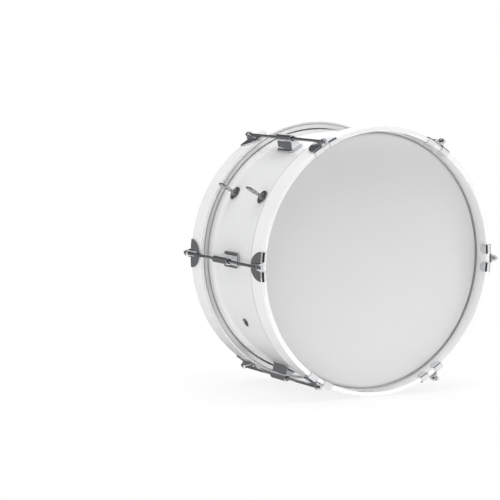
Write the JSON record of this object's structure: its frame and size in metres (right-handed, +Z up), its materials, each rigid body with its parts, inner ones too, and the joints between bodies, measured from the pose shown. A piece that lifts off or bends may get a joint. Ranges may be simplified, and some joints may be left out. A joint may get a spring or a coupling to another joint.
{
  "type": "marching bass drum",
  "caption": "Marching bass drum: gloss shell, film heads under counter hoops, claw hooks on key-turned tension rods, and eyebolts for a carrier.",
  "frame": {"origin": "on the floor under the drum's middle, the bottom centre of its box", "axes": "+Y is the drum's axis, from the front head to the back head; +Z is up; +X is to the right of somebody who looks at the front head"},
  "size_m": [0.5094, 0.282, 0.482],
  "materials": {
    "shell_lacquer": "gloss white lacquer on a wooden ply shell",
    "hoop_lacquer": "gloss white lacquer on wooden hoops",
    "head_film": "pale grey-white satin film",
    "flesh_hoop_metal": "plain satin aluminium",
    "chrome": "bright chrome plate",
    "rod_chrome": "bright chrome plate, worn grey on the threads",
    "zinc_plate": "dull zinc plate"
  },
  "bodies": {
    "drum": {"shell": "shell_lacquer", "front_head": "head_film", "front_flesh_hoop": "flesh_hoop_metal", "front_hoop": "hoop_lacquer", "back_head": "head_film", "back_flesh_hoop": "flesh_hoop_metal", "back_hoop": "hoop_lacquer", "lug_1": "chrome", "lug_screw_1_front": "zinc_plate", "lug_screw_1_back": "zinc_plate", "lug_2": "chrome", "lug_screw_2_front": "zinc_plate", "lug_screw_2_back": "zinc_plate", "lug_3": "chrome", "lug_screw_3_front": "zinc_plate", "lug_screw_3_back": "zinc_plate", "lug_4": "chrome", "lug_screw_4_front": "zinc_plate", "lug_screw_4_back": "zinc_plate", "lug_5": "chrome", "lug_screw_5_front": "zinc_plate", "lug_screw_5_back": "zinc_plate", "lug_6": "chrome", "lug_screw_6_front": "zinc_plate", "lug_screw_6_back": "zinc_plate", "eyebolt_front": "chrome", "eyebolt_cup_front": "chrome", "eyebolt_nut_front": "zinc_plate", "eyebolt_back": "chrome", "eyebolt_cup_back": "chrome", "eyebolt_nut_back": "zinc_plate", "vent_grommet": "chrome"},
    "front_claw_1": {"front_claw_1": "chrome"},
    "front_rod_1": {"front_rod_1": "rod_chrome"},
    "back_claw_1": {"back_claw_1": "chrome"},
    "back_rod_1": {"back_rod_1": "rod_chrome"},
    "front_claw_2": {"front_claw_2": "chrome"},
    "front_rod_2": {"front_rod_2": "rod_chrome"},
    "back_claw_2": {"back_claw_2": "chrome"},
    "back_rod_2": {"back_rod_2": "rod_chrome"},
    "front_claw_3": {"front_claw_3": "chrome"},
    "front_rod_3": {"front_rod_3": "rod_chrome"},
    "back_claw_3": {"back_claw_3": "chrome"},
    "back_rod_3": {"back_rod_3": "rod_chrome"},
    "front_claw_4": {"front_claw_4": "chrome"},
    "front_rod_4": {"front_rod_4": "rod_chrome"},
    "back_claw_4": {"back_claw_4": "chrome"},
    "back_rod_4": {"back_rod_4": "rod_chrome"},
    "front_claw_5": {"front_claw_5": "chrome"},
    "front_rod_5": {"front_rod_5": "rod_chrome"},
    "back_claw_5": {"back_claw_5": "chrome"},
    "back_rod_5": {"back_rod_5": "rod_chrome"},
    "front_claw_6": {"front_claw_6": "chrome"},
    "front_rod_6": {"front_rod_6": "rod_chrome"},
    "back_claw_6": {"back_claw_6": "chrome"},
    "back_rod_6": {"back_rod_6": "rod_chrome"}
  },
  "joints": [
    {"name": "front_claw_1_slide", "type": "slide", "parent": "drum", "child": "front_claw_1", "axis": [0, -1, 0], "range_m": [0, 0.01693]},
    {"name": "front_rod_1_turn", "type": "hinge", "parent": "front_claw_1", "child": "front_rod_1", "pos_m": [0.248, -0.1328, 0.241], "axis": [0, -1, 0], "range_deg": [0, 5760]},
    {"name": "back_claw_1_slide", "type": "slide", "parent": "drum", "child": "back_claw_1", "axis": [0, 1, 0], "range_m": [0, 0.01693]},
    {"name": "back_rod_1_turn", "type": "hinge", "parent": "back_claw_1", "child": "back_rod_1", "pos_m": [0.248, 0.1328, 0.241], "axis": [0, 1, 0], "range_deg": [0, 5760]},
    {"name": "front_claw_2_slide", "type": "slide", "parent": "drum", "child": "front_claw_2", "axis": [0, -1, 0], "range_m": [0, 0.01693]},
    {"name": "front_rod_2_turn", "type": "hinge", "parent": "front_claw_2", "child": "front_rod_2", "pos_m": [0.124, -0.1328, 0.45577], "axis": [0, -1, 0], "range_deg": [0, 5760]},
    {"name": "back_claw_2_slide", "type": "slide", "parent": "drum", "child": "back_claw_2", "axis": [0, 1, 0], "range_m": [0, 0.01693]},
    {"name": "back_rod_2_turn", "type": "hinge", "parent": "back_claw_2", "child": "back_rod_2", "pos_m": [0.124, 0.1328, 0.45577], "axis": [0, 1, 0], "range_deg": [0, 5760]},
    {"name": "front_claw_3_slide", "type": "slide", "parent": "drum", "child": "front_claw_3", "axis": [0, -1, 0], "range_m": [0, 0.01693]},
    {"name": "front_rod_3_turn", "type": "hinge", "parent": "front_claw_3", "child": "front_rod_3", "pos_m": [-0.124, -0.1328, 0.45577], "axis": [0, -1, 0], "range_deg": [0, 5760]},
    {"name": "back_claw_3_slide", "type": "slide", "parent": "drum", "child": "back_claw_3", "axis": [0, 1, 0], "range_m": [0, 0.01693]},
    {"name": "back_rod_3_turn", "type": "hinge", "parent": "back_claw_3", "child": "back_rod_3", "pos_m": [-0.124, 0.1328, 0.45577], "axis": [0, 1, 0], "range_deg": [0, 5760]},
    {"name": "front_claw_4_slide", "type": "slide", "parent": "drum", "child": "front_claw_4", "axis": [0, -1, 0], "range_m": [0, 0.01693]},
    {"name": "front_rod_4_turn", "type": "hinge", "parent": "front_claw_4", "child": "front_rod_4", "pos_m": [-0.248, -0.1328, 0.241], "axis": [0, -1, 0], "range_deg": [0, 5760]},
    {"name": "back_claw_4_slide", "type": "slide", "parent": "drum", "child": "back_claw_4", "axis": [0, 1, 0], "range_m": [0, 0.01693]},
    {"name": "back_rod_4_turn", "type": "hinge", "parent": "back_claw_4", "child": "back_rod_4", "pos_m": [-0.248, 0.1328, 0.241], "axis": [0, 1, 0], "range_deg": [0, 5760]},
    {"name": "front_claw_5_slide", "type": "slide", "parent": "drum", "child": "front_claw_5", "axis": [0, -1, 0], "range_m": [0, 0.01693]},
    {"name": "front_rod_5_turn", "type": "hinge", "parent": "front_claw_5", "child": "front_rod_5", "pos_m": [-0.124, -0.1328, 0.02623], "axis": [0, -1, 0], "range_deg": [0, 5760]},
    {"name": "back_claw_5_slide", "type": "slide", "parent": "drum", "child": "back_claw_5", "axis": [0, 1, 0], "range_m": [0, 0.01693]},
    {"name": "back_rod_5_turn", "type": "hinge", "parent": "back_claw_5", "child": "back_rod_5", "pos_m": [-0.124, 0.1328, 0.02623], "axis": [0, 1, 0], "range_deg": [0, 5760]},
    {"name": "front_claw_6_slide", "type": "slide", "parent": "drum", "child": "front_claw_6", "axis": [0, -1, 0], "range_m": [0, 0.01693]},
    {"name": "front_rod_6_turn", "type": "hinge", "parent": "front_claw_6", "child": "front_rod_6", "pos_m": [0.124, -0.1328, 0.02623], "axis": [0, -1, 0], "range_deg": [0, 5760]},
    {"name": "back_claw_6_slide", "type": "slide", "parent": "drum", "child": "back_claw_6", "axis": [0, 1, 0], "range_m": [0, 0.01693]},
    {"name": "back_rod_6_turn", "type": "hinge", "parent": "back_claw_6", "child": "back_rod_6", "pos_m": [0.124, 0.1328, 0.02623], "axis": [0, 1, 0], "range_deg": [0, 5760]}
  ],
  "couplings": [
    {"joint": "front_rod_1_turn", "follows": "front_claw_1_slide", "rad_per_m": 5936.9},
    {"joint": "back_rod_1_turn", "follows": "back_claw_1_slide", "rad_per_m": 5936.9},
    {"joint": "front_rod_2_turn", "follows": "front_claw_2_slide", "rad_per_m": 5936.9},
    {"joint": "back_rod_2_turn", "follows": "back_claw_2_slide", "rad_per_m": 5936.9},
    {"joint": "front_rod_3_turn", "follows": "front_claw_3_slide", "rad_per_m": 5936.9},
    {"joint": "back_rod_3_turn", "follows": "back_claw_3_slide", "rad_per_m": 5936.9},
    {"joint": "front_rod_4_turn", "follows": "front_claw_4_slide", "rad_per_m": 5936.9},
    {"joint": "back_rod_4_turn", "follows": "back_claw_4_slide", "rad_per_m": 5936.9},
    {"joint": "front_rod_5_turn", "follows": "front_claw_5_slide", "rad_per_m": 5936.9},
    {"joint": "back_rod_5_turn", "follows": "back_claw_5_slide", "rad_per_m": 5936.9},
    {"joint": "front_rod_6_turn", "follows": "front_claw_6_slide", "rad_per_m": 5936.9},
    {"joint": "back_rod_6_turn", "follows": "back_claw_6_slide", "rad_per_m": 5936.9}
  ]
}
